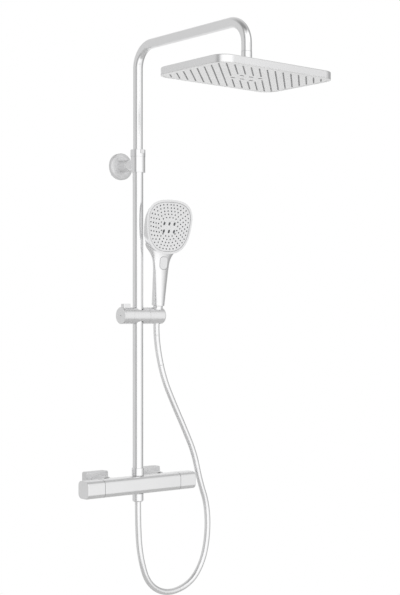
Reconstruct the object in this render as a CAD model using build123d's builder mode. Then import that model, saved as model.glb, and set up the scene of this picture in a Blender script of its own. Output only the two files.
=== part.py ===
from build123d import *
import os
from math import cos, pi, radians, sin, sqrt, tan

# Rainfall shower column. Millimetres, +X right, +Y into the wall, +Z up.
# The origin is midway between the two water inlets, on the wall's face.

# ---- Driving dimensions ----
column_y = -70.0  # axis of the riser pipe
inlet_spacing = 150.0

bar_y = -73.0  # axis of the thermostat bar
bar_depth = 39.2
bar_height = 39.6
bar_radius = 11.0
bar_half = 152.5  # axis of the column to the end of a handle
handle_length = 45.2
seam = 0.9  # gap between a handle and the bar
shell_wall = 2.5

plate_side = 60.0
plate_depth = 17.5
sleeve_radius = 22.0

riser_radius = 12.0
arm_radius = 11.0
pipe_wall = 1.5
bracket_z = 726.0
sleeve_low = 706.5
sleeve_seam = 742.5
sleeve_top = 758.5
sleeve_outer = 16.6
ring_outer = 17.0

arm_z = 991.4
arm_reach = 368.0
arm_bend = 50.0
arm_end_z = 923.8
ball_z = 903.0
ball_radius = 8.0
ball_gap = 0.05

head_width = 316.0
head_depth = 209.0
head_corner = 32.0
head_top = 885.5
head_seam = 870.6
head_low = 868.9
rim_width = 5.5
strip_pitch = 15.2
strip_width = 3.2
strip_count = 21

slider_z = 382.7
slider_radius = 19.05
cap_left = -48.6
section_left = -22.7
section_right = 22.7
holder_right = 68.0
holder_x = 54.5
holder_y = -71.0
lean = 7.5  # degrees that the hand shower leans away from the wall
button_travel = 2.5

grip_low = 23.5  # along the hand shower's axis, from the slider's axis
face_centre = 205.2
face_front = 18.7  # of the rim, in front of the hand shower's axis
face_half_width = 63.9
face_half_height = 61.4
face_power = 2.68
face_taper = 0.131
select_centre = 121.8
select_width = 20.6
select_height = 29.0
select_travel = 1.5

hose_diameter = 13.9

head_y = column_y - arm_reach
column = (0.0, column_y)
low_align = (Align.CENTER, Align.CENTER, Align.MIN)

os.makedirs("parts", exist_ok=True)


# ---- Placing and saving ----
def save(piece, label):
    """Labels a finished piece and writes it to its own file."""
    piece.label = label
    export_step(piece, f"parts/{label}.step")


def upward(x, y, z):
    return Plane(origin=(x, y, z), x_dir=(1, 0, 0), z_dir=(0, 0, 1))


def rightward(x, y, z):
    return Plane(origin=(x, y, z), x_dir=(0, 1, 0), z_dir=(1, 0, 0))


def wallward(x, y, z):
    return Plane(origin=(x, y, z), x_dir=(1, 0, 0), z_dir=(0, 1, 0))


lean_up = Vector(0, -sin(radians(lean)), cos(radians(lean)))
lean_front = Vector(0, -cos(radians(lean)), -sin(radians(lean)))
grip_origin = Vector(holder_x, holder_y, slider_z)


def grip_plane(along, front=0.0):
    """A plane across the hand shower's axis."""
    origin = grip_origin + lean_up * along + lean_front * front
    return Plane(origin=origin, x_dir=(1, 0, 0), z_dir=lean_up)


def face_plane(front, along=face_centre):
    """A plane parallel to the hand shower's face, looking out of it."""
    origin = grip_origin + lean_up * along + lean_front * front
    return Plane(origin=origin, x_dir=(1, 0, 0), z_dir=lean_front)


def rod(plane, radius, length, mode=Mode.ADD):
    """A round bar that starts on the plane and follows its normal."""
    with Locations(plane):
        Cylinder(radius, length, align=low_align, mode=mode)


def squircle(inset):
    """Points of the hand shower's face outline, moved in by the inset."""
    points = []
    for step in range(28):
        angle = 2 * pi * (step + 0.5) / 28
        side = abs(cos(angle)) ** (2 / face_power) * (1 if cos(angle) > 0 else -1)
        rise = abs(sin(angle)) ** (2 / face_power) * (1 if sin(angle) > 0 else -1)
        width = (face_half_width - inset) * (1 + face_taper * rise)
        points.append((width * side, (face_half_height - inset) * rise))
    return points


# ---- Thermostat bar ----
shell_half = bar_half - handle_length - seam
bar_inner = (bar_depth - 2 * shell_wall, bar_height - 2 * shell_wall)
boss_radius = 13.2
inlet_xs = (-inlet_spacing / 2, inlet_spacing / 2)
boss_end_y = -47.0

with BuildPart() as valve_shell:
    with BuildSketch(rightward(-shell_half, bar_y, 0)):
        RectangleRounded(bar_depth, bar_height, bar_radius)
        RectangleRounded(*bar_inner, bar_radius - shell_wall, mode=Mode.SUBTRACT)
    extrude(amount=2 * shell_half)
    rod(upward(0, column_y, 0), boss_radius + 0.2, 40, Mode.SUBTRACT)
    rod(upward(0, column_y, -40), 12.3, 40, Mode.SUBTRACT)
    for x in inlet_xs:
        rod(wallward(x, bar_y, 0), boss_radius + 0.2, 40, Mode.SUBTRACT)
save(valve_shell.part, "valve_shell")

core_half = 99.0
cartridge_radius = 11.0
cartridge_inner = 32.0
nipple_radius = 10.3
oring_width = 2.2

with BuildPart() as valve_core:
    rod(rightward(-core_half, bar_y, 0), 14.0, 2 * core_half)
    for x in (-core_half, core_half - 8):
        with BuildSketch(rightward(x, bar_y, 0)):
            RectangleRounded(*bar_inner, bar_radius - shell_wall)
        extrude(amount=8)
    rod(upward(0, column_y, 0), boss_radius, 20.0)
    rod(upward(0, column_y, 20), nipple_radius, 16.0)
    rod(upward(0, column_y, -20), 12.0, 20.0)
    for x in inlet_xs:
        rod(wallward(x, bar_y, 0), boss_radius, boss_end_y - bar_y)
        rod(wallward(x, bar_y, 0), 7.0, boss_end_y - bar_y, Mode.SUBTRACT)
    rod(rightward(-core_half, bar_y, 0), cartridge_radius + 0.05, 67, Mode.SUBTRACT)
    rod(rightward(cartridge_inner, bar_y, 0), cartridge_radius + 0.05, 67, Mode.SUBTRACT)
    rod(rightward(-40, bar_y, 0), 5.0, 80, Mode.SUBTRACT)
    rod(upward(0, column_y, -21), 7.0, 58, Mode.SUBTRACT)
    with Locations((0, column_y, 28)):
        Cylinder(nipple_radius + 1, oring_width, align=low_align, mode=Mode.SUBTRACT)
        Cylinder(nipple_radius - 1.3, oring_width, align=low_align)
        Cylinder(7.0, oring_width, align=low_align, mode=Mode.SUBTRACT)
save(valve_core.part, "valve_core")

spindle_radius = 4.0
spindle_gap = 0.05


def make_cartridge(side, windows):
    """A cartridge in one end of the core, with its clamping collar outside."""
    with BuildPart() as cartridge:
        rod(rightward(side * 65.5 - 33.5, bar_y, 0), cartridge_radius, 67)
        rod(rightward(side * 101.5 - 2.5, bar_y, 0), 13.4, 5)
        for x in windows:
            rod(rightward(side * x - 2, bar_y, 0), cartridge_radius + 1, 4, Mode.SUBTRACT)
            rod(rightward(side * x - 2, bar_y, 0), cartridge_radius - 3, 4)
        rod(rightward(side * 92 - 14, bar_y, 0), spindle_radius + spindle_gap, 28, Mode.SUBTRACT)
    return cartridge.part


save(make_cartridge(-1, (42, 75)), "thermostat_cartridge")
save(make_cartridge(1, (40, 56, 75)), "flow_cartridge")


def make_handle(side):
    """A handle with the bar's section, hollow towards the bar, with a hub for its spindle."""
    inner = side * (bar_half - handle_length)
    outer = side * bar_half
    left = min(inner, outer)
    with BuildPart() as handle:
        with BuildSketch(rightward(left, bar_y, 0)):
            RectangleRounded(bar_depth, bar_height, bar_radius)
        extrude(amount=handle_length)
        end = handle.faces().sort_by(Axis.X)[-1 if side > 0 else 0]
        fillet(end.edges(), radius=1.6)
        with BuildSketch(rightward(left + (3.5 if side < 0 else 0), bar_y, 0)):
            RectangleRounded(bar_depth - 6, bar_height - 6, bar_radius - 3)
        extrude(amount=handle_length - 3.5, mode=Mode.SUBTRACT)
        rod(rightward(min(side * 122, side * 149.5), bar_y, 0), 7.5, 27.5)
        rod(rightward(min(side * 122, side * 146), bar_y, 0), spindle_radius, 24, Mode.SUBTRACT)
    return handle.part


def make_spindle(side):
    """The shaft that carries a handle's turn into its cartridge."""
    with BuildPart() as spindle:
        rod(rightward(min(side * 80, side * 146), bar_y, 0), spindle_radius, 66)
        rod(rightward(side * 113 - 4, bar_y, 0), 6.0, 8)
    return spindle.part


save(make_handle(-1), "temperature_handle")
save(make_spindle(-1), "temperature_spindle")
save(make_handle(1), "flow_handle")
save(make_spindle(1), "flow_spindle")

# ---- Inlet unions and wall plates ----
thread_radius = 10.48  # G 1/2 outside thread
thread_length = 20.0
union_bore = 7.0


def make_wall_union(x):
    """The tube from the wall thread to the flange that a union nut pulls in."""
    with BuildPart() as union:
        with BuildSketch(wallward(x, -14, 0)):
            RegularPolygon(13.0, 6)
        extrude(amount=13)
        rod(wallward(x, -1, 0), thread_radius, thread_length + 1)
        rod(wallward(x, -44, 0), 9.5, 31)
        rod(wallward(x, -45.5, 0), 12.6, 2.5)
        rod(wallward(x, -46, 0), union_bore, 70, Mode.SUBTRACT)
    return union.part


def make_plate(x):
    """A hollow square plate against the wall."""
    with BuildPart() as plate:
        with BuildSketch(wallward(x, -plate_depth, 0)):
            RectangleRounded(plate_side, plate_side, 4)
        extrude(amount=plate_depth)
        fillet(plate.faces().sort_by(Axis.Y)[0].edges(), radius=1.2)
        with BuildSketch(wallward(x, -plate_depth + 2.5, 0)):
            RectangleRounded(plate_side - 5, plate_side - 5, 2)
        extrude(amount=plate_depth, mode=Mode.SUBTRACT)
        rod(wallward(x, -plate_depth - 1, 0), 14.0, 10, Mode.SUBTRACT)
    return plate.part


def make_union_sleeve(x):
    """The round cover over a union nut."""
    with BuildPart() as sleeve:
        rod(wallward(x, -52, 0), sleeve_radius, 52 - plate_depth)
        fillet(sleeve.faces().sort_by(Axis.Y)[0].edges(), radius=1.5)
        rod(wallward(x, -53, 0), sleeve_radius - 2.5, 60, Mode.SUBTRACT)
    return sleeve.part


for side_name, x in zip(("left", "right"), inlet_xs):
    save(make_wall_union(x), f"wall_union_{side_name}")
    save(make_plate(x), f"wall_plate_{side_name}")
    save(make_union_sleeve(x), f"union_sleeve_{side_name}")

with BuildPart() as union_nuts:
    for x in inlet_xs:
        with BuildSketch(wallward(x, -53, 0)):
            RegularPolygon(18.0, 6)
        extrude(amount=14)
        rod(wallward(x, -53, 0), boss_radius + 0.05, 10, Mode.SUBTRACT)
        rod(wallward(x, -43, 0), 9.8, 5, Mode.SUBTRACT)
save(union_nuts.part, "union_nuts")

with BuildPart() as union_seals:
    for x in inlet_xs:
        rod(wallward(x, boss_end_y, 0), 12.5, 1.5)
        rod(wallward(x, boss_end_y, 0), 7.5, 1.5, Mode.SUBTRACT)
save(union_seals.part, "union_seals")

with BuildPart() as check_valves:
    for x in inlet_xs:
        rod(wallward(x, -42, 0), union_bore, 20)
        rod(wallward(x, -42, 0), 4.0, 14, Mode.SUBTRACT)
        rod(wallward(x, -24, 0), 4.0, 2, Mode.SUBTRACT)
save(check_valves.part, "check_valves")

# ---- Hose outlet under the bar ----
outlet_low = -33.0
hose_start_z = -38.5

with BuildPart() as outlet_nipple:
    rod(upward(0, column_y, outlet_low), 10.2, -20 - outlet_low)
    rod(upward(0, column_y, outlet_low), 6.5, -20 - outlet_low, Mode.SUBTRACT)
save(outlet_nipple.part, "outlet_nipple")

with BuildPart() as lower_hose_washer:
    rod(upward(0, column_y, outlet_low - 2), 9.8, 2)
    rod(upward(0, column_y, outlet_low - 2), 5.0, 2, Mode.SUBTRACT)
save(lower_hose_washer.part, "lower_hose_washer")

with BuildPart() as lower_hose_nut:
    rod(upward(0, column_y, hose_start_z), 12.5, -20.8 - hose_start_z)
    chamfer(lower_hose_nut.faces().sort_by(Axis.Z)[0].edges(), length=2.2)
    rod(upward(0, column_y, outlet_low - 2), 10.25, 20, Mode.SUBTRACT)
    rod(upward(0, column_y, hose_start_z), 5.0, 10, Mode.SUBTRACT)
save(lower_hose_nut.part, "lower_hose_nut")

# ---- Riser pipe, its nut and the joint to the arm ----
riser_low = 21.0
riser_top = 741.5
nut_top = 37.7
riser_bore = riser_radius - pipe_wall
arm_bore = arm_radius - pipe_wall
flange_low = riser_top
flange_high = 743.3

with BuildPart() as riser_pipe:
    rod(upward(0, column_y, riser_low), riser_radius, riser_top - riser_low)
    rod(upward(0, column_y, riser_low), riser_bore, riser_top - riser_low, Mode.SUBTRACT)
save(riser_pipe.part, "riser_pipe")

with BuildPart() as riser_nut:
    rod(upward(0, column_y, 20.4), 14.2, nut_top - 20.4)
    fillet(riser_nut.faces().sort_by(Axis.Z)[-1].edges(), radius=0.8)
    chamfer(riser_nut.faces().sort_by(Axis.Z)[0].edges(), length=0.8)
    rod(upward(0, column_y, 20), riser_radius + 0.05, 20, Mode.SUBTRACT)
save(riser_nut.part, "riser_nut")

groove_heights = (716.0, 768.0)
coupler_radii = (riser_bore - 0.1, arm_bore - 0.08)

with BuildPart() as pipe_coupler:
    rod(upward(0, column_y, 705), coupler_radii[0], flange_low - 705)
    rod(upward(0, column_y, flange_low), riser_radius, flange_high - flange_low)
    rod(upward(0, column_y, flange_high), coupler_radii[1], 38)
    for z, radius in zip(groove_heights, coupler_radii):
        rod(upward(0, column_y, z), radius + 1, oring_width, Mode.SUBTRACT)
        rod(upward(0, column_y, z), radius - 1.3, oring_width)
    rod(upward(0, column_y, 700), 6.8, 90, Mode.SUBTRACT)
save(pipe_coupler.part, "pipe_coupler")

with BuildPart() as pipe_orings:
    rod(upward(0, column_y, 28), riser_bore - 0.02, oring_width)
    rod(upward(0, column_y, 28), nipple_radius - 1.3, oring_width, Mode.SUBTRACT)
    for z, radius, bore in zip(groove_heights, coupler_radii, (riser_bore, arm_bore)):
        rod(upward(0, column_y, z), bore - 0.05, oring_width)
        rod(upward(0, column_y, z), radius - 1.3, oring_width, Mode.SUBTRACT)
save(pipe_orings.part, "pipe_orings")

# ---- Wall bracket ----
disc_radius = 30.5
neck_radius = 11.8
stub_front_y = -37.0

with BuildPart() as column_sleeve:
    rod(upward(0, column_y, sleeve_low), sleeve_outer, sleeve_seam - 0.1 - sleeve_low)
    chamfer(column_sleeve.faces().sort_by(Axis.Z)[0].edges(), length=0.5)
    rod(wallward(0, column_y, bracket_z), neck_radius, 46)
    rod(upward(0, column_y, sleeve_low - 1), riser_radius + 0.05, 60, Mode.SUBTRACT)
save(column_sleeve.part, "column_sleeve")

tab_width = 10.4
tab_low = 749.3

with BuildPart() as sleeve_ring:
    rod(upward(0, column_y, sleeve_seam + 0.1), ring_outer, sleeve_top - sleeve_seam - 0.1)
    chamfer(sleeve_ring.faces().sort_by(Axis.Z)[-1].edges(), length=0.5)
    rod(upward(0, column_y, sleeve_seam), riser_radius + 0.05, 2.5, Mode.SUBTRACT)
    rod(upward(0, column_y, sleeve_seam), arm_radius + 0.06, 30, Mode.SUBTRACT)
    with Locations((0, column_y - ring_outer, tab_low)):
        Box(tab_width, 6.6, 20, align=low_align, mode=Mode.SUBTRACT)
save(sleeve_ring.part, "sleeve_ring")

with BuildPart() as lock_tab:
    with Locations((0, column_y - ring_outer + 1.2, tab_low + 0.1)):
        Box(tab_width - 0.3, 4.2, sleeve_top - tab_low - 0.2, align=low_align)
    fillet(lock_tab.faces().sort_by(Axis.Y)[0].edges(), radius=0.6)
save(lock_tab.part, "lock_tab")

with BuildPart() as bracket_disc:
    with BuildSketch(Plane.YZ):
        with BuildLine():
            Polyline((0, 0), (0, disc_radius), (-8, disc_radius))
            Line((-8, disc_radius), (-9.4, disc_radius - 1.4))
            Spline(
                (-9.4, disc_radius - 1.4),
                (-12, 14.5),
                tangents=((-0.35, -1), (0, -1)),
            )
            Polyline((-12, 14.5), (-12, 0), (0, 0))
        make_face()
    revolve(axis=Axis.Y)
    rod(wallward(0, -7.4, 0), disc_radius - 2.4, 10, Mode.SUBTRACT)
    rod(wallward(0, -13, 0), 8.2, 20, Mode.SUBTRACT)
bracket_disc_at_height = bracket_disc.part.moved(Location((0, 0, bracket_z)))
save(bracket_disc_at_height, "bracket_disc")

screw_radius = 2.5
screw_neck_radius = 2.3  # where it passes through the base plate
screw_heights = (bracket_z - 15, bracket_z + 15)

with BuildPart() as bracket_base:
    rod(wallward(0, -4, bracket_z), 24.0, 4)
    rod(wallward(0, -22, bracket_z), 8.0, 18)
    for z in screw_heights:
        rod(wallward(0, -5, z), screw_radius + 0.25, 10, Mode.SUBTRACT)
save(bracket_base.part, "bracket_base")

with BuildPart() as bracket_screws:
    for z in screw_heights:
        rod(wallward(0, -4, z), screw_neck_radius, 4.2)
        rod(wallward(0, 0.2, z), screw_radius, 29.8)
        rod(wallward(0, -6.8, z), 4.4, 2.8)
        with Locations((0, -6.8, z)):
            Box(6, 2, 1.1, mode=Mode.SUBTRACT)
save(bracket_screws.part, "bracket_screws")

with BuildPart() as bracket_stub:
    with Locations(wallward(0, stub_front_y, bracket_z)):
        Cone(13.3, 14.3, -stub_front_y - 12.1, align=low_align)
    fillet(bracket_stub.faces().sort_by(Axis.Y)[0].edges(), radius=0.8)
    rod(wallward(0, stub_front_y, bracket_z), neck_radius + 0.05, 13.5, Mode.SUBTRACT)
    rod(wallward(0, stub_front_y, bracket_z), 8.05, 30, Mode.SUBTRACT)
save(bracket_stub.part, "bracket_stub")

# ---- Shower arm and the ball joint over the head ----
arm_low = flange_high + 0.5

with BuildPart() as shower_arm:
    with BuildLine() as arm_line:
        FilletPolyline(
            (0, column_y, arm_low),
            (0, column_y, arm_z),
            (0, head_y, arm_z),
            (0, head_y, arm_end_z),
            radius=arm_bend,
        )
    with BuildSketch(upward(0, column_y, arm_low)):
        Circle(arm_radius)
        Circle(arm_bore, mode=Mode.SUBTRACT)
    sweep(path=arm_line.wire())
save(shower_arm.part, "shower_arm")

collar_low = ball_z - 5.0

with BuildPart() as arm_collar:
    rod(upward(0, head_y, collar_low), 11.35, arm_end_z - 0.2 - collar_low)
    chamfer(arm_collar.edges().filter_by(GeomType.CIRCLE), length=0.4)
    rod(upward(0, head_y, arm_end_z - 0.2), arm_bore - 0.05, 12)
    rod(upward(0, head_y, ball_z), 4.0, 40, Mode.SUBTRACT)
    with Locations((0, head_y, ball_z)):
        Sphere(ball_radius + ball_gap, mode=Mode.SUBTRACT)
save(arm_collar.part, "arm_collar")

with BuildPart() as swivel_ball:
    with Locations((0, head_y, ball_z)):
        Sphere(ball_radius)
    rod(upward(0, head_y, ball_z - 10), 3.0, 20, Mode.SUBTRACT)
save(swivel_ball.part, "swivel_ball")

with BuildPart() as head_stem:
    rod(upward(0, head_y, 877.5), 7.9, head_top - 877.5)
    rod(upward(0, head_y, head_top), 15.5, 3.5)
    chamfer(head_stem.faces().sort_by(Axis.Z)[-1].edges(), length=0.8)
    rod(upward(0, head_y, head_top + 3.5), 4.3, ball_z - head_top - 3.5)
    rod(upward(0, head_y, 870), 3.0, 40, Mode.SUBTRACT)
    with Locations((0, head_y, ball_z)):
        Sphere(ball_radius + ball_gap, mode=Mode.SUBTRACT)
save(head_stem.part, "head_stem")

# ---- Overhead shower ----
housing_wall = 2.2
post_places = [(x, y) for x in (-120, -45, 45, 120) for y in (-72, 72)]


def head_sketch_plane(z):
    return upward(0, head_y, z)


with BuildPart() as head_housing:
    with BuildSketch(head_sketch_plane(head_seam)):
        RectangleRounded(head_width, head_depth, head_corner)
    extrude(amount=head_top - head_seam)
    fillet(head_housing.faces().sort_by(Axis.Z)[-1].edges(), radius=2.2)
    with BuildSketch(head_sketch_plane(head_seam)):
        RectangleRounded(
            head_width - 2 * housing_wall,
            head_depth - 2 * housing_wall,
            head_corner - housing_wall,
        )
    extrude(amount=head_top - head_seam - housing_wall, mode=Mode.SUBTRACT)
    rod(upward(0, head_y, 877.5), 14.0, head_top - 877.5 - 1)
    for x, y in post_places:
        rod(upward(x, head_y + y, 876.2), 3.6, head_top - 876.2 - 1)
        rod(upward(x, head_y + y, 876.2), 1.5, 6, Mode.SUBTRACT)
    rod(upward(0, head_y, 870), 7.95, 20, Mode.SUBTRACT)
save(head_housing.part, "head_housing")

with BuildPart() as head_rim:
    with BuildSketch(head_sketch_plane(head_low)):
        RectangleRounded(head_width, head_depth, head_corner)
    extrude(amount=head_seam - 0.1 - head_low)
    fillet(head_rim.faces().sort_by(Axis.Z)[0].edges(), radius=1.0)
    with BuildSketch(head_sketch_plane(head_low)):
        RectangleRounded(head_width - 5, head_depth - 5, head_corner - 2.5)
    extrude(amount=4.0)
    with BuildSketch(head_sketch_plane(head_low)):
        RectangleRounded(
            head_width - 2 * rim_width,
            head_depth - 2 * rim_width,
            head_corner - rim_width,
        )
    extrude(amount=4.0, mode=Mode.SUBTRACT)
save(head_rim.part, "head_rim")

strip_reach_x = 146.0
strip_reach_y = 92.6
clear_half_x = 40.0  # plain zone round the centre nozzles
clear_half_y = 28.0


def strip_spans(number):
    """Where the nozzle strip of this number starts and ends along its own 45 degree line."""
    offset = number * strip_pitch
    low = max(-strip_reach_x * sqrt(2) - offset, offset - strip_reach_y * sqrt(2))
    high = min(strip_reach_x * sqrt(2) - offset, offset + strip_reach_y * sqrt(2))
    gap_low = max(-clear_half_x * sqrt(2) - offset, offset - clear_half_y * sqrt(2))
    gap_high = min(clear_half_x * sqrt(2) - offset, offset + clear_half_y * sqrt(2))
    if gap_high - gap_low < 20:
        return [(low, high)]
    return [(low, gap_low), (gap_high, high)]


def strip_places():
    """Centre, in the head's own X and Y, and length of every stretch of strip."""
    places = []
    for number in range(-(strip_count // 2), strip_count // 2 + 1):
        offset = number * strip_pitch
        for low, high in strip_spans(number):
            middle = (low + high) / 2
            x = (offset + middle) / sqrt(2)
            y = (middle - offset) / sqrt(2)
            places.append((x, y, high - low))
    return places


centre_places = [(x, y) for x in (-25, 0, 25) for y in (-14, 14)]

with BuildPart() as spray_plate:
    with BuildSketch(head_sketch_plane(head_low + 0.4)):
        RectangleRounded(
            head_width - 2 * rim_width - 0.4,
            head_depth - 2 * rim_width - 0.4,
            head_corner - rim_width - 0.2,
        )
    extrude(amount=3.0)
    with BuildSketch(head_sketch_plane(head_low)):
        for x, y, length in strip_places():
            with Locations(Location((x, y), 45)):
                SlotOverall(length, strip_width)
        with Locations(*centre_places):
            SlotOverall(12.0, 5.0)
    extrude(amount=4.0, mode=Mode.SUBTRACT)
save(spray_plate.part, "spray_plate")

with BuildPart() as nozzle_strips:
    with BuildSketch(head_sketch_plane(head_low + 0.7)):
        for x, y, length in strip_places():
            with Locations(Location((x, y), 45)):
                SlotOverall(length - 0.2, strip_width - 0.2)
    extrude(amount=2.7)
save(nozzle_strips.part, "nozzle_strips")

with BuildPart() as centre_nozzles:
    with BuildSketch(head_sketch_plane(head_low + 0.2)):
        with Locations(*centre_places):
            SlotOverall(11.8, 4.8)
    extrude(amount=3.2)
    fillet(centre_nozzles.faces().group_by(Axis.Z)[0].edges(), radius=0.5)
save(centre_nozzles.part, "centre_nozzles")

with BuildPart() as water_plate:
    with BuildSketch(head_sketch_plane(873.4)):
        RectangleRounded(head_width - 16, head_depth - 16, head_corner - 8)
        with Locations(*post_places):
            Circle(1.9, mode=Mode.SUBTRACT)
        with GridLocations(22, 22, 11, 6):
            Circle(2.0, mode=Mode.SUBTRACT)
    extrude(amount=2.6)
save(water_plate.part, "water_plate")

with BuildPart() as head_gasket:
    with BuildSketch(head_sketch_plane(876.1)):
        RectangleRounded(head_width - 18, head_depth - 18, head_corner - 9)
        RectangleRounded(head_width - 26, head_depth - 26, head_corner - 13, mode=Mode.SUBTRACT)
    extrude(amount=7.0)
save(head_gasket.part, "head_gasket")

with BuildPart() as head_screws:
    for x, y in post_places:
        rod(upward(x, head_y + y, 873.2), 1.45, 8.5)
        rod(upward(x, head_y + y, 872.5), 3.2, 0.8)
save(head_screws.part, "head_screws")

# ---- Slider on the riser ----
section_bore = 8.0
pocket_floor = slider_z + 11.0
button_rest = pocket_floor + button_travel + 0.35
pivot_radius = 5.0

with BuildPart() as slider_body:
    rod(rightward(section_left, column_y, slider_z), slider_radius, section_right - section_left)
    rod(upward(0, column_y, slider_z - 25), 14.5, 50, Mode.SUBTRACT)
    rod(rightward(section_left, column_y, slider_z), section_bore, 12, Mode.SUBTRACT)
    rod(rightward(13, column_y, slider_z), pivot_radius, 12, Mode.SUBTRACT)
save(slider_body.part, "slider_body")

with BuildPart() as slider_bush:
    rod(upward(0, column_y, slider_z - 11.5), 14.5, 23)
    rod(upward(0, column_y, slider_z - 14), riser_radius + 0.08, 28, Mode.SUBTRACT)
    rod(rightward(-20, column_y, slider_z), section_bore, 20, Mode.SUBTRACT)
save(slider_bush.part, "slider_bush")

with BuildPart() as slider_left:
    rod(rightward(cap_left + 3.2, column_y, slider_z), slider_radius, section_left - 0.15 - cap_left - 3.2)
    rod(rightward(cap_left, column_y, slider_z), section_bore, 40, Mode.SUBTRACT)
    with Locations((-34.5, column_y, pocket_floor)):
        Box(19.4, 12.8, 20, align=low_align, mode=Mode.SUBTRACT)
    rod(upward(-34.5, column_y, slider_z), 2.9, 20, Mode.SUBTRACT)
save(slider_left.part, "slider_left")

with BuildPart() as slider_end_cap:
    rod(rightward(cap_left, column_y, slider_z), slider_radius, 3.1)
    chamfer(slider_end_cap.faces().sort_by(Axis.X)[0].edges(), length=0.7)
    rod(rightward(cap_left, column_y, slider_z), 7.9, 6)
    rod(rightward(cap_left - 1, column_y, slider_z), 1.8, 4, Mode.SUBTRACT)
save(slider_end_cap.part, "slider_end_cap")

with BuildPart() as brake_plunger:
    rod(rightward(-39, column_y, slider_z), 3.6, 18)
    rod(rightward(-22, column_y, slider_z), 7.7, 9.7)
    rod(upward(0, column_y, slider_z - 25), riser_radius + 0.08, 50, Mode.SUBTRACT)
save(brake_plunger.part, "brake_plunger")

with BuildPart() as brake_spring:
    rod(rightward(-42.4, column_y, slider_z), 6.3, 20)
    rod(rightward(-42.4, column_y, slider_z), 4.2, 20, Mode.SUBTRACT)
save(brake_spring.part, "brake_spring")

with BuildPart() as release_button:
    with Locations((-34.5, column_y, button_rest)):
        Box(18.6, 12.0, slider_z + 26.5 - button_rest, align=low_align)
    fillet(release_button.edges().filter_by(Axis.Z), radius=1.5)
    fillet(release_button.faces().sort_by(Axis.Z)[-1].edges(), radius=0.8)
    rod(upward(-34.5, column_y, slider_z + 9.5), 2.5, button_rest - slider_z - 9.0)
save(release_button.part, "release_button")

with BuildPart() as holder_pivot:
    rod(rightward(14.8, column_y, slider_z), pivot_radius, 21.2)
    rod(rightward(33.2, column_y, slider_z), 7.4, 3.2)
save(holder_pivot.part, "holder_pivot")

cone_half = 25.0
cone_mid_radius = 10.35
cone_slope = 0.0447
cone_gap = 0.09


def cone_radius(along):
    return cone_mid_radius + cone_slope * along


with BuildPart() as hose_holder:
    rod(rightward(section_right + 0.3, column_y, slider_z), slider_radius, holder_right - section_right - 0.3)
    fillet(hose_holder.faces().sort_by(Axis.X)[-1].edges(), radius=3.5)
    with Locations(grip_plane(-cone_half)):
        Cone(cone_radius(-cone_half), cone_radius(cone_half), 2 * cone_half, align=low_align, mode=Mode.SUBTRACT)
    rod(rightward(20, column_y, slider_z), pivot_radius + 0.06, 20, Mode.SUBTRACT)
    rod(rightward(32.8, column_y, slider_z), 7.8, 20, Mode.SUBTRACT)
save(hose_holder.part, "hose_holder")

# ---- Hand shower ----
nut_low = -16.0
waterway_low = 10.0

with BuildPart() as upper_hose_nut:
    with Locations(grip_plane(nut_low)):
        Cone(
            cone_radius(nut_low) - cone_gap,
            cone_radius(grip_low - 0.5) - cone_gap,
            grip_low - 0.5 - nut_low,
            align=low_align,
        )
    rod(grip_plane(waterway_low - 2), 8.45, 20, Mode.SUBTRACT)
    rod(grip_plane(nut_low - 1), 5.0, 40, Mode.SUBTRACT)
save(upper_hose_nut.part, "upper_hose_nut")

with BuildPart() as upper_hose_washer:
    rod(grip_plane(waterway_low - 2), 8.0, 2)
    rod(grip_plane(waterway_low - 2), 4.5, 2, Mode.SUBTRACT)
save(upper_hose_washer.part, "upper_hose_washer")

# Sections of the grip's flare: place along the axis, half width, half depth, how far the middle is in front.
flare_sections = [
    (104.0, 20.3, 10.8, -0.8),
    (116.0, 21.8, 10.0, -1.2),
    (128.0, 24.6, 9.8, -1.6),
    (140.0, 31.0, 10.2, -1.8),
    (152.0, 42.0, 11.0, -1.6),
    (164.0, 50.0, 11.6, -0.6),
]
recess_floor = 15.3
back_tilt = 11.3  # degrees between the head's back and its face
back_middle = -2.0


def back_plane(front):
    """A plane across the hand shower's head that is nearer its face at the top."""
    normal = lean_front * cos(radians(back_tilt)) - lean_up * sin(radians(back_tilt))
    origin = grip_origin + lean_up * face_centre + lean_front * front
    return Plane(origin=origin, x_dir=(1, 0, 0), z_dir=normal)


def outline(plane, inset):
    """The hand shower's face outline as a flat face on a plane."""
    with BuildSketch(plane) as sketch:
        with BuildLine():
            Spline(*squircle(inset), periodic=True)
        make_face()
    return sketch.sketch.face()


with BuildPart() as hand_housing:
    with BuildSketch(grip_plane(grip_low)):
        Ellipse(14.6, 14.3)
    with BuildSketch(grip_plane(104.0, -0.8)):
        Ellipse(20.3, 10.8)
    loft(ruled=True)
    fillet(hand_housing.faces().sort_by(Axis.Z)[0].edges(), radius=0.8)
    for along, width, depth, middle in flare_sections:
        with BuildSketch(grip_plane(along, middle)):
            Ellipse(width, depth)
    loft()
    shell_sections = [
        outline(back_plane(back_middle), 13),
        outline(back_plane(back_middle + 2.2), 7),
        outline(back_plane(back_middle + 7), 2.4),
        outline(face_plane(face_front), 0),
    ]
    for behind, before in zip(shell_sections, shell_sections[1:]):
        loft([behind, before], ruled=True)
    extrude(outline(face_plane(recess_floor), 5), amount=10, mode=Mode.SUBTRACT)
    cavity_back = outline(back_plane(back_middle + 4.5), 13)
    cavity_front = outline(face_plane(recess_floor + 0.1), 9)
    loft([cavity_back, cavity_front], ruled=True, mode=Mode.SUBTRACT)
    rod(grip_plane(grip_low - 5), 6.3, 100, Mode.SUBTRACT)
    rod(grip_plane(grip_low + 90, -4.2), 3.0, 60, Mode.SUBTRACT)
    with BuildSketch(face_plane(2.6, select_centre)):
        RectangleRounded(select_width + 0.7, select_height + 0.7, 8.6)
    extrude(amount=15, mode=Mode.SUBTRACT)
save(hand_housing.part, "hand_housing")

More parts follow.
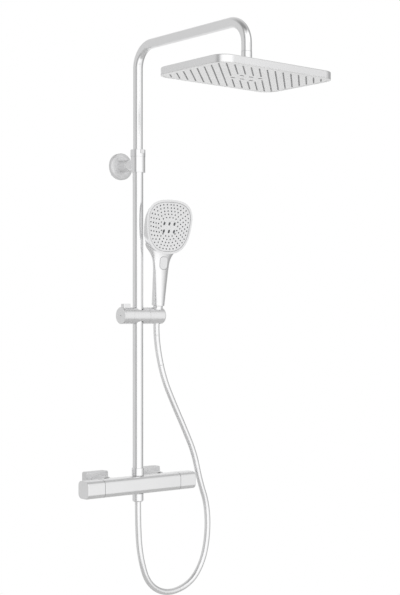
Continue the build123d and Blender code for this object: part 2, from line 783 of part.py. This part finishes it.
with BuildPart() as select_button:
    with BuildSketch(face_plane(2.6 + select_travel + 0.35, select_centre)):
        RectangleRounded(select_width, select_height, 8.25)
    extrude(amount=4.75)
    fillet(select_button.faces().sort_by(Axis.Y)[0].edges(), radius=0.8)
save(select_button.part, "select_button")

jet_places = [(x, y - 1.6) for x in (-14.7, 0, 14.7) for y in (-8.7, 8.7)]
jet_length = 8.2
jet_width = 5.0
jet_slant = 68.0

with BuildPart() as hand_face:
    extrude(outline(face_plane(recess_floor + 0.05), 5.2), amount=2.9)
    with BuildSketch(face_plane(recess_floor + 2.4)):
        with Locations((0, 7.1), (0, -10.3)):
            RectangleRounded(46, 11.4, 5.6)
    extrude(amount=2, mode=Mode.SUBTRACT)
    with BuildSketch(face_plane(recess_floor)):
        with Locations(*jet_places):
            SlotOverall(jet_length, jet_width, rotation=jet_slant)
    extrude(amount=5, mode=Mode.SUBTRACT)
save(hand_face.part, "hand_face")

with BuildPart() as hand_nozzles:
    extrude(outline(face_plane(recess_floor - 1.6), 14), amount=1.6)
    with BuildSketch(face_plane(recess_floor)):
        with Locations(*jet_places):
            SlotOverall(jet_length - 0.2, jet_width - 0.2, rotation=jet_slant)
    extrude(amount=2.6)
save(hand_nozzles.part, "hand_nozzles")

with BuildPart() as hand_waterway:
    rod(grip_plane(waterway_low), 8.3, grip_low - 0.2 - waterway_low)
    rod(grip_plane(waterway_low), 6.0, 95)
    rod(grip_plane(waterway_low), 4.5, 100, Mode.SUBTRACT)
save(hand_waterway.part, "hand_waterway")

# ---- Hose ----
# From the nut under the bar, round the free loop, and up into the holder.
hose_end = grip_origin + lean_up * (nut_low - 1.2)
hose_route = [
    (0, -70, -38.5),
    (0, -70, -101),
    (5, -72.5, -168),
    (26, -74, -231),
    (81, -75, -260),
    (150, -75, -244),
    (189, -74, -197),
    (205, -73, -132),
    (203, -72.5, -64),
    (180, -72, -4),
    (165, -71.5, 59),
    (136, -70, 119),
    (106, -68, 177),
    (78, -66, 236),
    (63, -63, 301),
    tuple(hose_end),
]


def arc_radii(route):
    """The radius at each corner: 0.45 of the shorter run over the tangent of half the turn."""
    radii = []
    for before, corner, after in zip(route, route[1:], route[2:]):
        first = Vector(*corner) - Vector(*before)
        second = Vector(*after) - Vector(*corner)
        half_turn = radians(first.get_angle(second)) / 2
        radii.append(0.45 * min(first.length, second.length) / tan(half_turn))
    return radii


hose_radii = arc_radii(hose_route)
print("hose arc radii", [round(radius) for radius in hose_radii])

with BuildPart() as hose:
    with BuildLine() as hose_line:
        FilletPolyline(*hose_route, radius=hose_radii)
    first_run = Vector(*hose_route[1]) - Vector(*hose_route[0])
    with BuildSketch(Plane(origin=hose_route[0], z_dir=first_run)):
        Circle(hose_diameter / 2)
    sweep(path=hose_line.wire())
hose_length = hose_line.wire().length
section_area = pi * hose_diameter**2 / 4
print("hose length", round(hose_length, 1))
print("hose volume over section times length", round(hose.part.volume / (section_area * hose_length), 5))
save(hose.part, "hose")
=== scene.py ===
import bpy
from math import cos, pi, radians, sin, sqrt
from mathutils import Matrix, Vector


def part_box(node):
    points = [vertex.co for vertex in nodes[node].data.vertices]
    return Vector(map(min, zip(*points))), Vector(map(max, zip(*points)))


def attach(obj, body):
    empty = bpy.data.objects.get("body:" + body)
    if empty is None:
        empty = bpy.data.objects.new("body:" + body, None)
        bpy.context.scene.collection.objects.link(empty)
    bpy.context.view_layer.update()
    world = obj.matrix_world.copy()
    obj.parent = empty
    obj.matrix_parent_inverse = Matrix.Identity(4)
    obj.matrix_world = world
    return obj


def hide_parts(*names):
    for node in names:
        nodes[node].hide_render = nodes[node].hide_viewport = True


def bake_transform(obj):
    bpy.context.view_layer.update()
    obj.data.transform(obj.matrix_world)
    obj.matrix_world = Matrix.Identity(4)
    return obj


# Looks for the rainfall shower column, in metres, in the frame of the CAD part.

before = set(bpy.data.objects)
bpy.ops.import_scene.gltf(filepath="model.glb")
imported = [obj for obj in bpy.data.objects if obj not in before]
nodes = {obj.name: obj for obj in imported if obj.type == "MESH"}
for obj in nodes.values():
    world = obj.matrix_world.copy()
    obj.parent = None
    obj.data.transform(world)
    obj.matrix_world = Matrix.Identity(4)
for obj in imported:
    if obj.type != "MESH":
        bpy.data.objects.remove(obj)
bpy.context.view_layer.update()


# ---- Camera ----
view_turn = -39.92  # degrees round the column

camera_data = bpy.data.cameras.new("camera")
camera_data.sensor_width = 36
camera_data.lens = 78.31
camera_data.shift_y = 0.0328
camera = bpy.data.objects.new("camera", camera_data)
camera.location = (-1.7759, -2.4117, 0.3795)
camera.rotation_euler = (radians(90), 0, radians(view_turn))
bpy.context.scene.collection.objects.link(camera)
bpy.context.scene.camera = camera


# ---- Small helpers ----
def link(obj):
    bpy.context.scene.collection.objects.link(obj)
    return obj


def mesh_object(name, vertices, faces, material):
    mesh = bpy.data.meshes.new(name)
    mesh.from_pydata(vertices, [], faces)
    mesh.update()
    for polygon in mesh.polygons:
        polygon.use_smooth = True
    mesh.materials.append(material)
    return link(bpy.data.objects.new(name, mesh))


def place(origin, normal, up):
    """A matrix whose Z is the normal and whose Y is as near as it can be to up."""
    z_axis = Vector(normal).normalized()
    x_axis = Vector(up).cross(z_axis).normalized()
    y_axis = z_axis.cross(x_axis)
    turn = Matrix((x_axis, y_axis, z_axis)).transposed().to_4x4()
    return Matrix.Translation(Vector(origin)) @ turn


def studs(name, matrix, spots, profile, material, sides=12):
    """Many small turned studs in one mesh. The profile is a list of (radius, height) up to the tip."""
    vertices = []
    faces = []
    for x, y in spots:
        first = len(vertices)
        for radius, height in profile:
            for side in range(sides):
                angle = 2 * pi * side / sides
                vertices.append(matrix @ Vector((x + radius * cos(angle), y + radius * sin(angle), height)))
        vertices.append(matrix @ Vector((x, y, profile[-1][1])))
        tip = len(vertices) - 1
        for ring in range(len(profile) - 1):
            for side in range(sides):
                a = first + ring * sides + side
                b = first + ring * sides + (side + 1) % sides
                faces.append((a, b, b + sides, a + sides))
        last = first + (len(profile) - 1) * sides
        for side in range(sides):
            faces.append((last + side, last + (side + 1) % sides, tip))
        faces.append(tuple(first + side for side in reversed(range(sides))))
    return mesh_object(name, vertices, faces, material)


# ---- Materials ----
class Nodes:
    """A short way to build one material's nodes."""

    def __init__(self, name):
        self.material = bpy.data.materials.new(name)
        self.material.use_nodes = True
        self.tree = self.material.node_tree
        self.shader = self.tree.nodes["Principled BSDF"]
        self.coordinates = self.tree.nodes.new("ShaderNodeTexCoord")

    def noise(self, scale, detail=3.0, stretch=(1, 1, 1), roughness=0.5):
        mapping = self.tree.nodes.new("ShaderNodeMapping")
        mapping.inputs["Scale"].default_value = stretch
        noise = self.tree.nodes.new("ShaderNodeTexNoise")
        noise.inputs["Scale"].default_value = scale
        noise.inputs["Detail"].default_value = detail
        noise.inputs["Roughness"].default_value = roughness
        self.tree.links.new(self.coordinates.outputs["Object"], mapping.inputs["Vector"])
        self.tree.links.new(mapping.outputs["Vector"], noise.inputs["Vector"])
        return noise.outputs["Fac"]

    def ramp(self, value, stops):
        ramp = self.tree.nodes.new("ShaderNodeValToRGB")
        elements = ramp.color_ramp.elements
        while len(elements) < len(stops):
            elements.new(0.5)
        for element, (position, color) in zip(elements, stops):
            element.position = position
            element.color = (*color, 1)
        self.tree.links.new(value, ramp.inputs["Fac"])
        return ramp.outputs["Color"]

    def span(self, value, low, high, source=(0.3, 0.7)):
        span = self.tree.nodes.new("ShaderNodeMapRange")
        span.inputs["From Min"].default_value = source[0]
        span.inputs["From Max"].default_value = source[1]
        span.inputs["To Min"].default_value = low
        span.inputs["To Max"].default_value = high
        self.tree.links.new(value, span.inputs["Value"])
        return span.outputs["Result"]

    def bump(self, value, strength, distance):
        bump = self.tree.nodes.new("ShaderNodeBump")
        bump.inputs["Strength"].default_value = strength
        bump.inputs["Distance"].default_value = distance
        self.tree.links.new(value, bump.inputs["Height"])
        self.tree.links.new(bump.outputs["Normal"], self.shader.inputs["Normal"])

    def use(self, value, socket):
        self.tree.links.new(value, self.shader.inputs[socket])


def tones(color, spread):
    darker = tuple(channel * (1 - spread) for channel in color)
    lighter = tuple(min(1.0, channel * (1 + spread)) for channel in color)
    return [(0.32, darker), (0.68, lighter)]


def plated(name, color, rough, metallic=1.0, grain=(1, 1, 1), coat=0.0):
    """Satin chrome: cloudy tone, a fine directional grain and uneven polish."""
    n = Nodes(name)
    n.shader.inputs["Metallic"].default_value = metallic
    n.shader.inputs["Coat Weight"].default_value = coat
    n.shader.inputs["Coat Roughness"].default_value = 0.08
    n.use(n.ramp(n.noise(9, 4), tones(color, 0.018)), "Base Color")
    n.use(n.span(n.noise(34, 6, grain), rough - 0.035, rough + 0.035), "Roughness")
    n.bump(n.noise(1500, 2, grain), 0.008, 0.0002)
    return n.material


def moulded(name, color, rough, spread=0.02, specular=0.5, pits=0.12):
    """Moulded plastic: a matt skin with a fine pebble and slight mottling."""
    n = Nodes(name)
    n.shader.inputs["Specular IOR Level"].default_value = specular
    n.use(n.ramp(n.noise(14, 4), tones(color, spread)), "Base Color")
    n.use(n.span(n.noise(60, 4), rough - 0.05, rough + 0.05), "Roughness")
    n.bump(n.noise(1900, 2), pits, 0.0002)
    return n.material


def silicone(name, color, spread=0.08):
    """Soft rubber: dull, dusty, with a fine orange peel."""
    n = Nodes(name)
    n.shader.inputs["Specular IOR Level"].default_value = 0.3
    n.shader.inputs["Sheen Weight"].default_value = 0.15
    n.use(n.ramp(n.noise(40, 5), tones(color, spread)), "Base Color")
    n.use(n.span(n.noise(90, 3), 0.55, 0.72), "Roughness")
    n.bump(n.noise(1200, 3), 0.2, 0.0003)
    return n.material


def turned(name, color, rough):
    """Machined metal: rings of tool marks and a slightly tarnished tone."""
    n = Nodes(name)
    n.shader.inputs["Metallic"].default_value = 1.0
    n.use(n.ramp(n.noise(22, 6), tones(color, 0.1)), "Base Color")
    n.use(n.span(n.noise(70, 5, (1, 8, 8)), rough - 0.08, rough + 0.08), "Roughness")
    n.bump(n.noise(420, 2, (1, 9, 1)), 0.15, 0.0002)
    return n.material


silver = (0.93, 0.93, 0.935)
pipe_chrome = plated("pipe_chrome", silver, 0.21, grain=(1, 1, 0.04))
body_chrome = plated("body_chrome", silver, 0.23, grain=(0.06, 1, 1))
plate_chrome = plated("plate_chrome", silver, 0.26)
matt_silver = plated("matt_silver", (0.86, 0.86, 0.865), 0.5)
nickel = turned("nickel", (0.42, 0.42, 0.415), 0.4)
shell_silver = plated("shell_silver", (0.93, 0.93, 0.935), 0.28)
hose_silver = plated("hose_silver", (0.92, 0.92, 0.925), 0.24, metallic=0.9, coat=0.15)
spray_silver = plated("spray_silver", (0.92, 0.92, 0.92), 0.27, metallic=0.8)
face_silver = moulded("face_silver", (0.9, 0.9, 0.905), 0.4, pits=0.05)
strip_rubber = silicone("strip_rubber", (0.58, 0.58, 0.585))
mark_rubber = silicone("mark_rubber", (0.2, 0.2, 0.205))
nozzle_rubber = silicone("nozzle_rubber", (0.11, 0.115, 0.12))
gap_shadow = moulded("gap_shadow", (0.1, 0.1, 0.1), 0.6)
bead_grey = moulded("bead_grey", (0.5, 0.5, 0.505), 0.5)
seal_rubber = silicone("seal_rubber", (0.03, 0.03, 0.032))
raw_brass = turned("raw_brass", (0.72, 0.56, 0.27), 0.32)
raw_steel = turned("raw_steel", (0.56, 0.56, 0.57), 0.35)
dark_plastic = moulded("dark_plastic", (0.05, 0.05, 0.055), 0.5, spread=0.15)

finishes = {
    pipe_chrome: ["riser_pipe", "shower_arm", "arm_collar", "column_sleeve", "sleeve_ring", "riser_nut"],
    body_chrome: ["valve_shell", "temperature_handle", "flow_handle"],
    plate_chrome: ["lower_hose_nut", "upper_hose_nut", "lock_tab", "head_stem"],
    matt_silver: [
        "wall_plate_left", "wall_plate_right", "union_sleeve_left", "union_sleeve_right", "bracket_disc",
        "bracket_stub",
    ],
    shell_silver: [
        "head_housing", "hand_housing", "select_button", "slider_body", "slider_left", "slider_end_cap",
        "release_button", "hose_holder",
    ],
    spray_silver: ["spray_plate", "head_rim"],
    face_silver: ["hand_face"],
    strip_rubber: ["nozzle_strips"],
    mark_rubber: ["centre_nozzles"],
    nozzle_rubber: ["hand_nozzles"],
    seal_rubber: ["union_seals", "lower_hose_washer", "upper_hose_washer", "pipe_orings", "head_gasket"],
    nickel: ["valve_core", "outlet_nipple", "union_nuts", "swivel_ball"],
    raw_brass: ["wall_union_left", "wall_union_right", "pipe_coupler", "temperature_spindle", "flow_spindle"],
    raw_steel: ["bracket_screws", "bracket_base", "head_screws", "brake_spring", "holder_pivot"],
    dark_plastic: [
        "thermostat_cartridge", "flow_cartridge", "check_valves", "slider_bush", "brake_plunger",
        "hand_waterway", "water_plate",
    ],
}
for material, names in finishes.items():
    for name in names:
        for slot in nodes[name].material_slots:
            slot.material = material


# ---- Hose ----
# Control points of its centreline, in metres, from the nut under the bar up into the holder.
route = [
    (0, -0.07, -0.0385),
    (0, -0.07, -0.101),
    (0.005, -0.0725, -0.168),
    (0.026, -0.074, -0.231),
    (0.081, -0.075, -0.260),
    (0.150, -0.075, -0.244),
    (0.189, -0.074, -0.197),
    (0.205, -0.073, -0.132),
    (0.203, -0.0725, -0.064),
    (0.180, -0.072, -0.004),
    (0.165, -0.0715, 0.059),
    (0.136, -0.07, 0.119),
    (0.106, -0.068, 0.177),
    (0.078, -0.066, 0.236),
    (0.063, -0.063, 0.301),
    (0.0545, -0.0669, 0.352),
    (0.0545, -0.0688, 0.3666),
]
hose_radius = 0.00695
hose_step = 0.00085  # between the rings of its mesh
sleeve_rings = 34

# Where one stretch of the hose hands over to the next.
low_join = (0.1155, -0.075, -0.252)
slider_join = (0.0705, -0.0645, 0.2685)
stretches = {
    "hose_loop": [*route[:5], low_join],
    "hose_rise": [low_join, *route[5:14], slider_join],
    "hose_top": [slider_join, *route[14:]],
}


def centreline(points):
    """Points read from the NURBS spline through these control points."""
    curve = bpy.data.curves.new("centreline", "CURVE")
    curve.dimensions = "3D"
    spline = curve.splines.new("NURBS")
    spline.points.add(len(points) - 1)
    for target, point in zip(spline.points, points):
        target.co = (*point, 1)
    spline.order_u = 3
    spline.use_endpoint_u = True
    spline.resolution_u = 48
    holder = bpy.data.objects.new("centreline", curve)
    link(holder)
    bpy.context.view_layer.update()
    mesh = bpy.data.meshes.new_from_object(holder)
    line = [vertex.co.copy() for vertex in mesh.vertices]
    bpy.data.objects.remove(holder)
    bpy.data.meshes.remove(mesh)
    return line


def even(line, spacing):
    """The same line with evenly spaced points."""
    total = sum((b - a).length for a, b in zip(line, line[1:]))
    count = round(total / spacing)
    result = [line[0]]
    wanted = total / count
    travelled = 0.0
    for a, b in zip(line, line[1:]):
        length = (b - a).length
        while travelled + length >= wanted * len(result) and len(result) < count:
            result.append(a.lerp(b, (wanted * len(result) - travelled) / length))
        travelled += length
    return [*result, line[-1]]


def hose_tube(name, line, phase, outer=hose_radius):
    """A round tube with a faint spiral, closed at both ends. Gives the tube and the spiral's next phase."""
    sides = 28
    pitch = 0.0052  # of the spiral
    depth = 0.00004
    vertices = []
    faces = []
    before = [line[0], *line[:-1]]
    after = [*line[1:], line[-1]]
    tangents = [(b - a).normalized() for a, b in zip(before, after)]
    across = Vector((0, 1, 0))
    travelled = phase
    for i, (point, tangent) in enumerate(zip(line, tangents)):
        if i:
            travelled += (point - line[i - 1]).length
        across = (across - tangent * across.dot(tangent)).normalized()
        other = tangent.cross(across)
        for side in range(sides):
            angle = 2 * pi * side / sides
            wave = 0.5 + 0.5 * cos(2 * pi * travelled / pitch - angle)
            radius = outer - depth * wave**4
            vertices.append(point + (across * cos(angle) + other * sin(angle)) * radius)
    for i in range(len(line) - 1):
        for side in range(sides):
            a = i * sides + side
            b = i * sides + (side + 1) % sides
            faces.append((a, b, b + sides, a + sides))
    faces.append(tuple(reversed(range(sides))))
    last = (len(line) - 1) * sides
    faces.append(tuple(last + side for side in range(sides)))
    return mesh_object(name, vertices, faces, hose_silver), travelled


hose_pieces = {}
hose_lines = {}
travelled = 0.0
for name, points in stretches.items():
    line = even(centreline(points), hose_step)
    hose_lines[name] = line
    hose_pieces[name], travelled = hose_tube(name, line, travelled)
    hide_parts("hose")

# The crimped sleeve on the hose's end, a little wider than the hose over its last rings.
sleeve_line = hose_lines["hose_top"][-sleeve_rings:]
hose_sleeve, _ = hose_tube("hose_sleeve", sleeve_line, 0, hose_radius + 0.0001)

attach(hose_pieces["hose_loop"], "column")
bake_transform(hose_pieces["hose_rise"])
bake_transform(hose_pieces["hose_top"])
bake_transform(hose_sleeve)


# ---- Nozzle tips under the overhead shower ----
head_y = -0.438
strip_pitch = 0.0152
strip_reach = (0.146, 0.0926)
clear_zone = (0.040, 0.028)
tip_pitch = 0.0076


def crossing(offset, half_x, half_y):
    """Where a 45 degree line at this offset enters and leaves a rectangle."""
    low = max(-half_x * sqrt(2) - offset, offset - half_y * sqrt(2))
    high = min(half_x * sqrt(2) - offset, offset + half_y * sqrt(2))
    return low, high


def strip_tip_spots():
    spots = []
    for number in range(-10, 11):
        offset = number * strip_pitch
        low, high = crossing(offset, *strip_reach)
        gap_low, gap_high = crossing(offset, *clear_zone)
        count = int((high - low - 0.006) / tip_pitch)
        for step in range(count + 1):
            along = (low + high) / 2 + (step - count / 2) * tip_pitch
            if gap_high - gap_low > 0.02 and gap_low - 0.002 < along < gap_high + 0.002:
                continue
            spots.append(((offset + along) / sqrt(2), (along - offset) / sqrt(2)))
    return spots


strip_face = 0.8696
under_head = Matrix.Translation((0, head_y, strip_face)) @ Matrix.Rotation(pi, 4, "X")
tip_profile = [(0.00105, -0.0004), (0.00105, 0.0001), (0.0008, 0.00042), (0.00035, 0.0005), (0.0003, 0.0002)]
strip_tips = studs(
    "head_nozzle_tips", under_head, [(x, -y) for x, y in strip_tip_spots()], tip_profile, nozzle_rubber
)
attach(strip_tips, "head")


# ---- Nozzle dots and bead on the hand shower ----
lean = radians(7.5)
lean_up = Vector((0, -sin(lean), cos(lean)))
lean_front = Vector((0, -cos(lean), -sin(lean)))
grip_origin = Vector((0.0545, -0.071, 0.3827))
face_middle = grip_origin + lean_up * 0.2052
face_half_width = 0.0639
face_half_height = 0.0614
face_power = 2.68
face_taper = 0.131
dot_pitch = 0.0097


def squircle(inset, angle):
    """A point of the hand shower's outline, this far inside its edge."""
    side = abs(cos(angle)) ** (2 / face_power) * (1 if cos(angle) > 0 else -1)
    rise = abs(sin(angle)) ** (2 / face_power) * (1 if sin(angle) > 0 else -1)
    return (face_half_width - inset) * (1 + face_taper * rise) * side, (face_half_height - inset) * rise


def ring_spots(inset, count, shift):
    """Evenly spaced spots round one ring of the face."""
    outline = [squircle(inset, 2 * pi * step / 720) for step in range(721)]
    steps = [sqrt((b[0] - a[0]) ** 2 + (b[1] - a[1]) ** 2) for a, b in zip(outline, outline[1:])]
    total = sum(steps)
    spots = []
    travelled = 0.0
    for a, length in zip(outline, steps):
        if travelled + length > total * (len(spots) + shift) / count and len(spots) < count:
            spots.append(a)
        travelled += length
    return spots


def ring_length(inset):
    outline = [Vector((*squircle(inset, 2 * pi * step / 720), 0)) for step in range(721)]
    return sum((b - a).length for a, b in zip(outline, outline[1:]))


dot_spots = []
for ring in range(5):
    inset = 0.0112 + 0.0072 * ring
    dot_spots += ring_spots(inset, round(ring_length(inset) / dot_pitch), 0.25 + 0.5 * (ring % 2))
face_front = place(face_middle + lean_front * 0.01825, lean_front, lean_up)
dot_profile = [
    (0.00172, -0.0003), (0.00172, 0.0001), (0.0014, 0.00032), (0.0007, 0.0004), (0.00055, 0.0001),
]
dots = studs("hand_nozzle_dots", face_front, dot_spots, dot_profile, nozzle_rubber)
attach(dots, "handshower")


def face_bead(name, insets, heights, segments=160):
    """A thin closed ring that follows the edge of the hand shower's face plate."""
    outer, inner = insets
    low, high = heights
    section = [(outer, low), (outer, high), (inner, high), (inner, low)]
    vertices = []
    faces = []
    for step in range(segments):
        for inset, height in section:
            x, y = squircle(inset, 2 * pi * step / segments)
            vertices.append(face_front @ Vector((x, y, height)))
    for step in range(segments):
        near = step * 4
        far = (step + 1) % segments * 4
        for side in range(4):
            turn = (side + 1) % 4
            faces.append((near + side, far + side, far + turn, near + turn))
    bead = mesh_object(name, vertices, faces, bead_grey)
    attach(bead, "handshower")


face_bead("hand_face_bead", (0.0051, 0.0061), (-0.0002, 0.00012))


# ---- Dark rings in the seams between the bar and its handles: painted shade, not real parts ----
bar_y = -0.073
shade_ring_half = 0.00036  # of its thickness


def rounded_square(width, height, radius, steps=8):
    points = []
    for corner in range(4):
        x_side = (1, -1, -1, 1)[corner]
        y_side = (1, 1, -1, -1)[corner]
        for step in range(steps + 1):
            angle = pi / 2 * (corner + step / steps)
            points.append((
                x_side * (width / 2 - radius) + radius * cos(angle),
                y_side * (height / 2 - radius) + radius * sin(angle),
            ))
    return points


# A thin dark ring sunk into the seam, where it paints the shade of the gap.
def seam_shade_ring(name, x_middle):
    outer = rounded_square(0.0386, 0.0390, 0.0106)
    inner = rounded_square(0.0346, 0.0350, 0.0086)
    count = len(outer)
    vertices = []
    for loop, x in ((outer, -shade_ring_half), (outer, shade_ring_half), (inner, shade_ring_half), (inner, -shade_ring_half)):
        vertices += [(x_middle + x, bar_y + y, z) for y, z in loop]
    faces = []
    for loop in range(4):
        for step in range(count):
            a = loop * count + step
            b = loop * count + (step + 1) % count
            c = (loop + 1) % 4 * count + (step + 1) % count
            d = (loop + 1) % 4 * count + step
            faces.append((a, b, c, d))
    shade_ring = mesh_object(name, vertices, faces, gap_shadow)
    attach(shade_ring, "column")


handle_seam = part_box("flow_handle")[0][0] - 0.00045
seam_shade_ring("left_seam_shade_ring", -handle_seam)
seam_shade_ring("right_seam_shade_ring", handle_seam)


# ---- Studio ----
def tone(value):
    """Linear light for an even grey of this screen value."""
    value = value / 255
    return value / 12.92 if value <= 0.04045 else ((value + 0.055) / 1.055) ** 2.4


def studio(view_angle):
    """A white tent round the object: bright in front, a soft dark band to one side, dimmer high and low."""
    world = bpy.data.worlds.new("studio")
    bpy.context.scene.world = world
    world.use_nodes = True
    tree = world.node_tree
    tree.nodes.clear()
    make = tree.nodes.new
    connect = tree.links.new
    coordinates = make("ShaderNodeTexCoord")
    turn = make("ShaderNodeMapping")
    turn.vector_type = "POINT"
    turn.inputs["Rotation"].default_value = (0, 0, radians(90 - view_angle))
    split = make("ShaderNodeSeparateXYZ")
    around = make("ShaderNodeMath")
    around.operation = "ARCTAN2"
    around_span = make("ShaderNodeMapRange")
    around_span.inputs["From Min"].default_value = -pi
    around_span.inputs["From Max"].default_value = pi
    sides = make("ShaderNodeValToRGB")
    connect(coordinates.outputs["Generated"], turn.inputs["Vector"])
    connect(turn.outputs["Vector"], split.inputs["Vector"])
    connect(split.outputs["Y"], around.inputs[0])
    connect(split.outputs["X"], around.inputs[1])
    connect(around.outputs["Value"], around_span.inputs["Value"])
    connect(around_span.outputs["Result"], sides.inputs["Fac"])
    set_ramp(sides, [  # degrees round the tent, and the grey seen there
        (-180, 228), (-158, 222), (-142, 204), (-110, 206), (-58, 206), (-46, 172), (-38, 146), (-30, 172),
        (-20, 236), (-10, 260), (56, 260), (72, 236), (86, 224), (102, 190), (118, 160), (146, 164),
        (162, 214), (180, 228),
    ], -180, 180, tone)
    height_span = make("ShaderNodeMapRange")
    height_span.inputs["From Min"].default_value = -1
    height_span.inputs["From Max"].default_value = 1
    heights = make("ShaderNodeValToRGB")
    connect(split.outputs["Z"], height_span.inputs["Value"])
    connect(height_span.outputs["Result"], heights.inputs["Fac"])
    set_ramp(heights, [(-1, 1), (-0.86, 1), (-0.62, 0), (0.62, 0), (0.86, 1), (1, 1)], -1, 1)
    mix = make("ShaderNodeMix")
    mix.data_type = "RGBA"
    colours = [socket for socket in mix.inputs if socket.type == "RGBA"]
    connect(heights.outputs["Color"], mix.inputs[0])
    connect(sides.outputs["Color"], colours[0])
    connect(caps(tree, split), colours[1])
    mixed = [socket for socket in mix.outputs if socket.type == "RGBA"][0]
    tent = make("ShaderNodeBackground")
    tent.inputs["Strength"].default_value = 1.06
    connect(mixed, tent.inputs["Color"])
    backdrop = make("ShaderNodeBackground")
    backdrop.inputs["Color"].default_value = (1, 1, 1, 1)
    path = make("ShaderNodeLightPath")
    choose = make("ShaderNodeMixShader")
    connect(path.outputs["Is Camera Ray"], choose.inputs["Fac"])
    connect(tent.outputs["Background"], choose.inputs[1])
    connect(backdrop.outputs["Background"], choose.inputs[2])
    output = make("ShaderNodeOutputWorld")
    connect(choose.outputs["Shader"], output.inputs["Surface"])


def caps(tree, split):
    """The tent's roof and floor: darker towards the camera, brighter behind the object."""
    make = tree.nodes.new
    ramps = []
    for stops in (
        [(-1, 212), (-0.3, 200), (0.0, 166), (0.3, 134), (1, 134)],
        [(-1, 226), (-0.3, 222), (0.05, 205), (0.35, 165), (1, 160)],
    ):
        span = make("ShaderNodeMapRange")
        span.inputs["From Min"].default_value = -1
        span.inputs["From Max"].default_value = 1
        ramp = make("ShaderNodeValToRGB")
        tree.links.new(split.outputs["X"], span.inputs["Value"])
        tree.links.new(span.outputs["Result"], ramp.inputs["Fac"])
        set_ramp(ramp, stops, -1, 1, tone)
        ramps.append(ramp)
    below = make("ShaderNodeMath")
    below.operation = "LESS_THAN"
    below.inputs[1].default_value = 0
    tree.links.new(split.outputs["Z"], below.inputs[0])
    mix = make("ShaderNodeMix")
    mix.data_type = "RGBA"
    colours = [socket for socket in mix.inputs if socket.type == "RGBA"]
    tree.links.new(below.outputs["Value"], mix.inputs[0])
    tree.links.new(ramps[0].outputs["Color"], colours[0])
    tree.links.new(ramps[1].outputs["Color"], colours[1])
    return [socket for socket in mix.outputs if socket.type == "RGBA"][0]


def set_ramp(ramp, stops, low, high, shade=float):
    """Stops as (place, value), where places run from low to high."""
    elements = ramp.color_ramp.elements
    while len(elements) < len(stops):
        elements.new(0.5)
    for element, (place, value) in zip(elements, stops):
        element.position = (place - low) / (high - low)
        light = shade(value)
        element.color = (light, light, light, 1)


studio(view_turn)

floor_material = moulded("floor_paint", (0.84, 0.84, 0.835), 0.7, spread=0.01)
floor_z = -1.05
floor_corners = [(-1.6, -1.9, floor_z), (1.6, -1.9, floor_z), (1.6, 1.3, floor_z), (-1.6, 1.3, floor_z)]
floor = mesh_object("floor", floor_corners, [(0, 1, 2, 3)], floor_material)

key_data = bpy.data.lights.new("key", "AREA")
key_data.shape = "DISK"
key_data.size = 1.6
key_data.energy = 2
key = link(bpy.data.objects.new("key", key_data))
key.location = (0.7, -2.2, 2.2)
key.rotation_euler = (Vector((0, -0.2, 0.4)) - key.location).to_track_quat("-Z", "Y").to_euler()

bpy.context.scene.view_settings.view_transform = "Standard"
bpy.context.scene.view_settings.look = "None"
